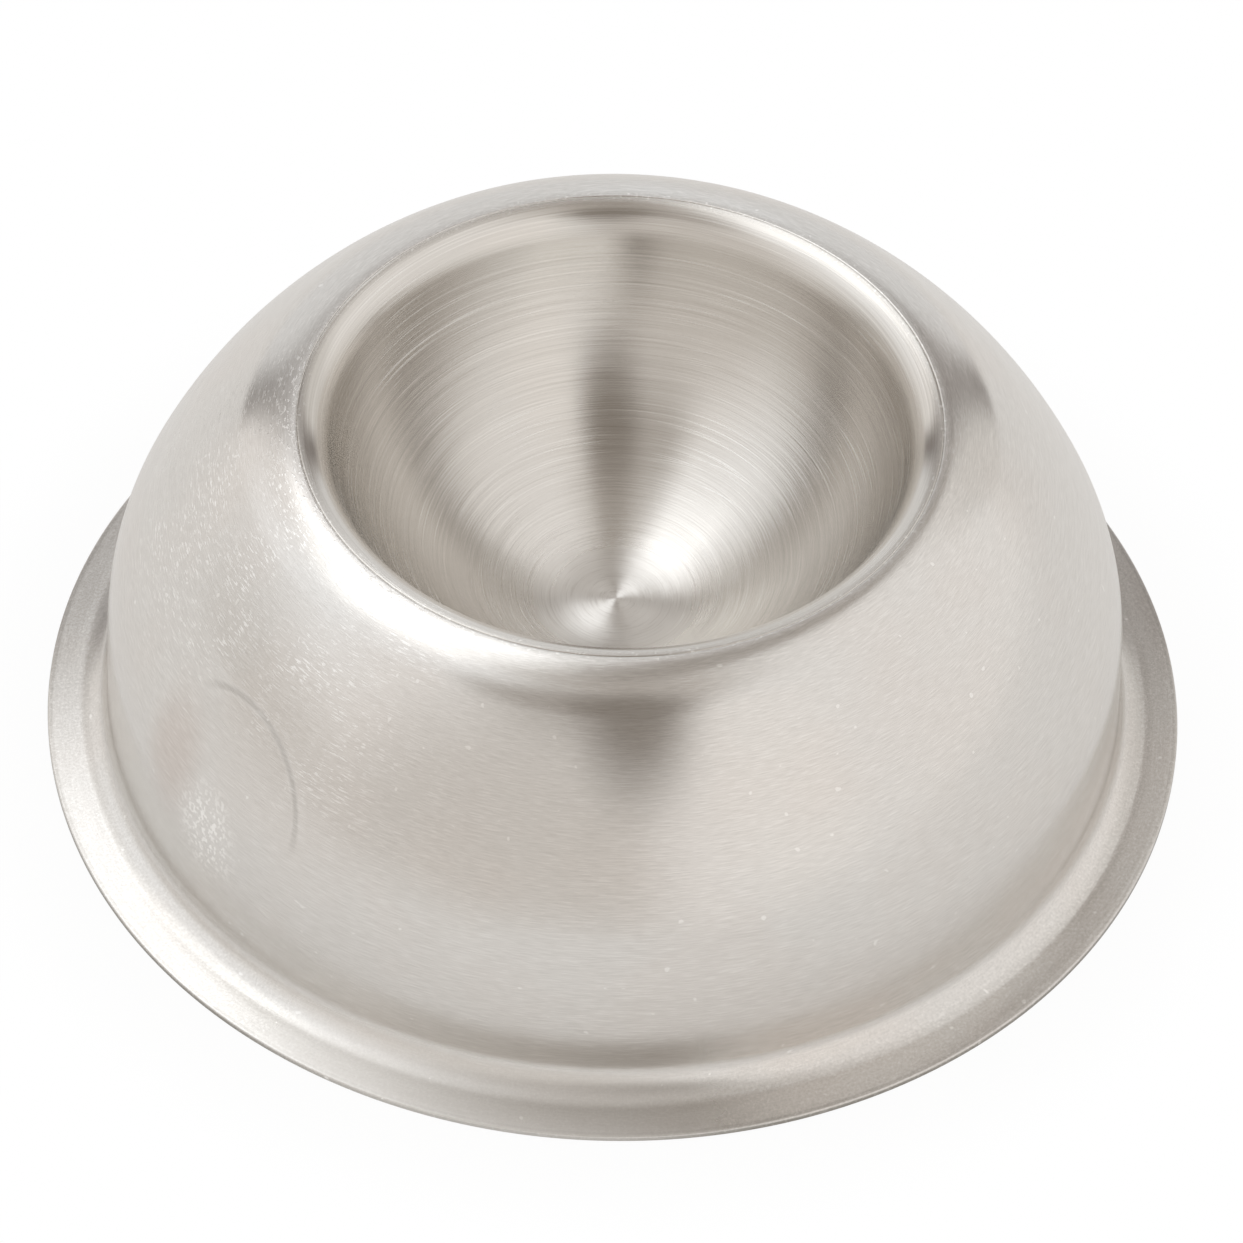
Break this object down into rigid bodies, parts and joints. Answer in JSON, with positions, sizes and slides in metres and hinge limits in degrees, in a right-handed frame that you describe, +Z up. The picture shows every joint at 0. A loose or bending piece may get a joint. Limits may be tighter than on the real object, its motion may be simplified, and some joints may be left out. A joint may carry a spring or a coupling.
{
  "type": "egg cup",
  "caption": "Low domed egg cup in satin stainless steel: a round egg bowl set in a pressed shell that turns out at the bottom into a flat foot flange.",
  "frame": {"origin": "centre of the foot ring, on the plane that the cup stands on", "axes": "+Z up along the cup's axis, through the middle of the egg bowl; +Y points away from the viewer of the reference picture, so that -Y is the cup's front; +X is to the right"},
  "size_m": [0.085, 0.085, 0.03],
  "materials": {
    "satin_shell": "satin, finely brushed round the cup, with short bright scuffs",
    "turned_bowl": "turned, with fine concentric lines"
  },
  "bodies": {
    "root": {"outer_shell": "satin_shell", "egg_bowl": "turned_bowl"}
  },
  "joints": []
}
